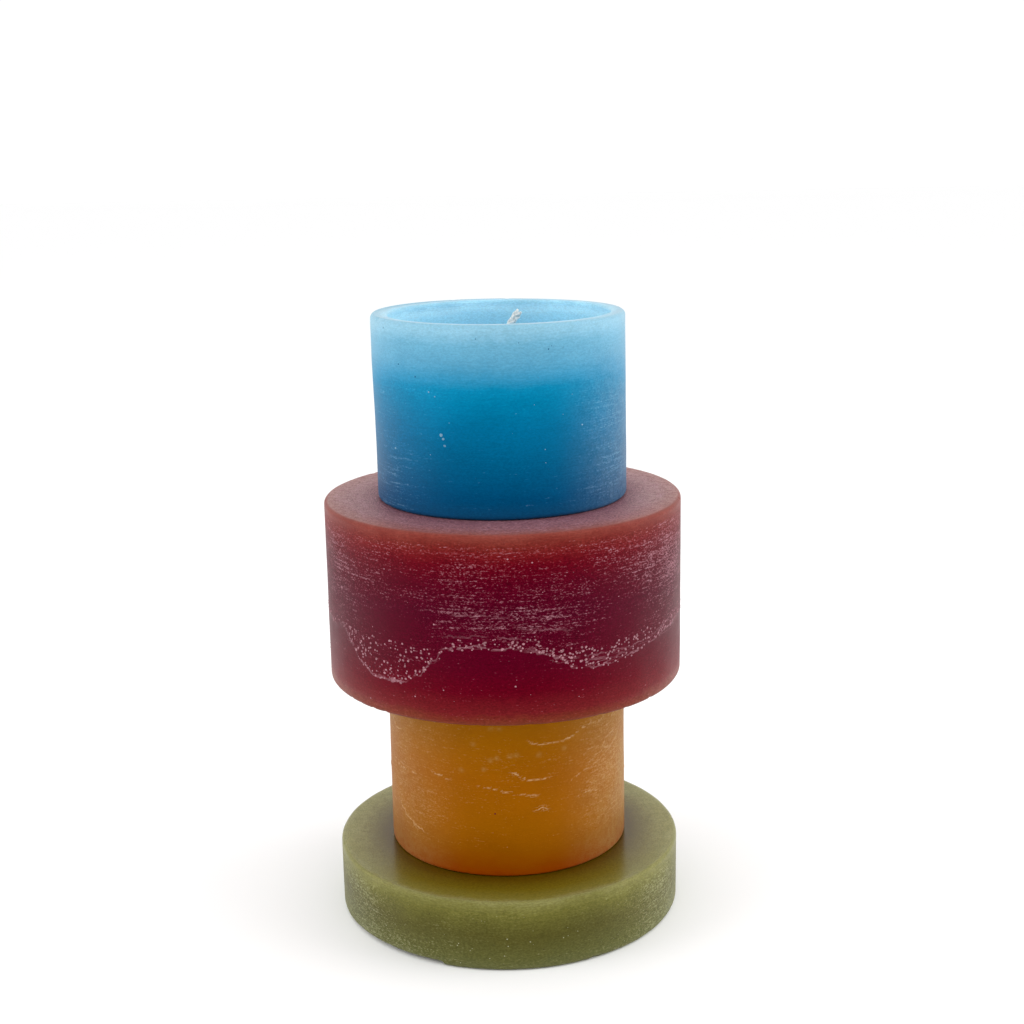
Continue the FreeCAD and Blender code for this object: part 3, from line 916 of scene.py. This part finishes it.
def make_cup():
    """The blue cup on top, paler towards its rim and in its well: painted light shining through the thin wall
    round the well.
    """
    low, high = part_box("cup_wax")
    well_r = (high.x - low.x) / MM / 2 - CUP_WALL
    skin, base = new_skin("cup_wax", EDGE_ROUND, well_r, WELL_DEPTH, RIM_INNER_ROUND,
                          seed=4, side_step=0.4, top_step=0.5)
    cast_skin(skin, wave=0.09, worn=0.16)
    # The wall leans out a little towards the rim on the left.
    left = np.cos(np.radians(turn_gap(skin.azimuth, -90)))
    skin.push += skin.side * smooth(skin.height, 5, skin.total) * (0.15 + 0.35 * left)
    pool_round_wick(skin, skin.total - WELL_DEPTH, climb=1.4, dish=0.25)
    patchy = grain(skin.points, 12.0, 61)
    flanks = smooth(np.abs(turn_gap(skin.azimuth, 0)), 22, 62)
    # Frost grows from the front towards the flanks, partly as painted sheen: the paleness that grazing light
    # gives there.
    frost = 0.13 + 0.26 * flanks + 0.10 * patchy + 0.05 * smooth(-skin.height, -22, -6)
    frost += 0.03 * patch(skin, -50, 14, 24, 9) + 0.16 * patch(skin, 56, 24, 19, 16)
    frost += 0.22 * patch(skin, -36, 34, 9, 2.5)
    frost *= skin.side * smooth(-skin.height, -(skin.total - 9), -(skin.total - 20))
    # The haze is painted sheen: on the flanks, most on the right where a lamp is reflected, and towards the
    # rim.
    right = 0.5 + 0.5 * np.sin(np.radians(skin.azimuth))
    near_rim = flanks * skin.side * smooth(skin.height, 37, 43)
    haze_and_sheen = 0.75 * flanks * skin.side * right ** 2 * smooth(-skin.height, -44, -36)
    haze_and_sheen += near_rim * (0.15 + 0.35 * right)
    piece = block_piece("cup_block", skin, base, frost, haze_and_sheen, polish=0.35 * (1 - skin.side))
    r = skin.radius
    floor = skin.total - WELL_DEPTH
    # The side turns pale from about the well's floor up to the rim, and the rim and the well's wall are pale
    # too: painted light shining through the thin wall round the well.
    stops = [
        (r, 1.0, rgb(14, 74, 116)), (r, 5, rgb(0, 71, 114)), (r, 15, rgb(0, 86, 126)),
        (r, 24, rgb(0, 100, 141)), (r, 31, rgb(0, 115, 155)), (r, 34.6, rgb(8, 125, 165)),
        (r, 37.5, rgb(52, 137, 174)), (r, 41, rgb(84, 151, 182)), (r, 46, rgb(104, 164, 191)),
        (r, 49.6, rgb(138, 186, 207)),
        (r - 1.6, 51, rgb(134, 178, 198)), (well_r + 0.3, 50.4, rgb(156, 206, 226)),
        (well_r, 48.6, rgb(186, 228, 242)), (well_r, 46.5, rgb(164, 214, 232)),
        (well_r, floor + 4, rgb(136, 200, 224)), (well_r - 3, floor, rgb(104, 178, 208)),
        (6, floor, rgb(86, 164, 200)), (2, floor, rgb(104, 176, 208)), (TAB_POCKET_R, 0.5, rgb(4, 72, 112)),
    ]
    look = wax_material("cup_wax_look", skin, stops,
                        frost=rgb(140, 182, 204), streaks=0.27, bite=0.32,
                        haze_and_sheen=rgb(150, 176, 194), haze_and_sheen_strength=0.18, seams=0,
                        grains=(0.34, 0.32, 0.34), sway=(0.10, 0.22), wander=0.003, gloss=0.38, shine=0.45,
                        tint=(0.0, 0.22, 0.38), glow=0.25)
    spots = [(-26.5, 22.4, 0.60, 0.6), (-25.6, 21.4, 0.42, 0.5), (-25.0, 19.6, 0.4, 0.4),
             (-54, 17.2, 0.34, 0.6), (37.5, 23.8, 0.26, 0.8), (-32, 33.5, 0.24, 0.7),
             (-29, 32.4, 0.2, 0.7), (-60, 49.0, 0.22, 0.0),
             (-49, 40.0, 0.22, 0.0), (-39, 37.2, 0.26, 0.0), (-10, 47.6, 0.17, 0.3), (8, 46.4, 0.18, 0.3),
             (21, 44.4, 0.22, 0.1), (22.5, 45.2, 0.16, 0.1)]
    spots += scattered(41, 40, 3, 34, 0.07, 0.18, tone=0.6) + scattered(42, 14, 34, 49, 0.10, 0.18, tone=0.2)
    bloom = bloom_material("cup_fleck_look", rgb(24, 92, 128), rgb(60, 130, 166), rgb(136, 174, 194))
    return piece, look, speck_mesh("cup_flecks", skin, base, spots, seed=43), bloom


def make_blocks():
    makers = {"disc": make_disc, "pillar": make_pillar, "drum": make_drum, "cup": make_cup}
    for body, maker in makers.items():
        block, block_look, flecks, fleck_look = maker()
        block.data.materials.append(block_look)
        flecks.data.materials.append(fleck_look)
        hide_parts(body + "_wax")
        for piece in (block, flecks):
            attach(piece, body)


def make_wicks():
    look = cotton_material("wick_look")
    for seed, body in enumerate(("disc", "pillar", "drum", "cup")):
        low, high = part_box(body + "_wax")
        foot = low.z / MM + TAB_SINK
        top = high.z / MM - WICK_HEADROOM
        if body == "cup":
            floor = high.z / MM - WELL_DEPTH
            path = wick_path(foot, top, floor, CUP_WICK_LEAN, CUP_WICK_HEADING, tuft=1.1)
        else:
            path = wick_path(foot, top, high.z / MM - RECESS_DEPTH, 0, 0)
        piece = braided_wick(body + "_braid", path, seed)
        piece.data.materials.append(look)
        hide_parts(body + "_wick")
        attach(piece, body)


def finish_tabs():
    look = tinned_material("tab_look")
    for body in ("disc", "pillar", "drum", "cup"):
        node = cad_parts[body + "_wick_tab"]
        for holder in node.material_slots:
            holder.material = look


# ---------------------------------------------------------------- stage

def make_camera():
    """The camera: in front, a little above the stack, nearly level and turned a hair clockwise."""
    stand = (0, -0.4355, 0.2180)
    down, aim_right, roll = math.radians(13.28), math.radians(0.34), math.radians(-1.05)
    lens = bpy.data.cameras.new("camera")
    lens.sensor_width = 36.0
    lens.lens = 55.7
    camera = bpy.data.objects.new("camera", lens)
    bpy.context.scene.collection.objects.link(camera)
    turn = Matrix.Rotation(-aim_right, 4, "Z")
    turn = turn @ Matrix.Rotation(math.pi / 2 - down, 4, "X")
    turn = turn @ Matrix.Rotation(roll, 4, "Z")
    camera.matrix_world = Matrix.Translation(stand) @ turn
    bpy.context.scene.camera = camera


def area_light(name, stand, size, power):
    """A round soft lamp that points at the middle of the stack: metres and watts."""
    aim = Vector((0, 0, 0.09))
    light = bpy.data.lights.new(name, "AREA")
    light.shape = "DISK"
    light.size = size
    light.energy = power
    lamp = bpy.data.objects.new(name, light)
    lamp.location = stand
    lamp.rotation_euler = (aim - Vector(stand)).to_track_quat("-Z", "Y").to_euler()
    bpy.context.scene.collection.objects.link(lamp)


def make_stage():
    """A plain white floor under a pale sky of even light, with a large soft lamp on each side."""
    bpy.context.scene.view_settings.view_transform = "Standard"
    world = bpy.data.worlds.new("studio")
    world.use_nodes = True
    sky = world.node_tree.nodes["Background"]
    sky.inputs["Color"].default_value = (1, 1, 1, 1)
    sky.inputs["Strength"].default_value = 1.05
    bpy.context.scene.world = world
    far = 6.0
    mesh = bpy.data.meshes.new("floor")
    mesh.from_pydata([(-far, -far, 0), (far, -far, 0), (far, far, 0), (-far, far, 0)], [], [(0, 1, 2, 3)])
    floor = place("floor", mesh)
    s = Shader("floor_look")
    s.feed(s.surface.inputs["Base Color"], (0.95, 0.95, 0.95, 1.0))
    s.feed(s.surface.inputs["Roughness"], 0.9)
    s.feed(s.surface.inputs["Specular IOR Level"], 0.2)
    mesh.materials.append(s.material)
    area_light("left_lamp", (-0.9, -0.25, 0.55), size=0.7, power=3.0)
    area_light("right_lamp", (0.9, -0.1, 0.6), size=0.8, power=3.8)


make_blocks()
make_wicks()
finish_tabs()
make_camera()
make_stage()
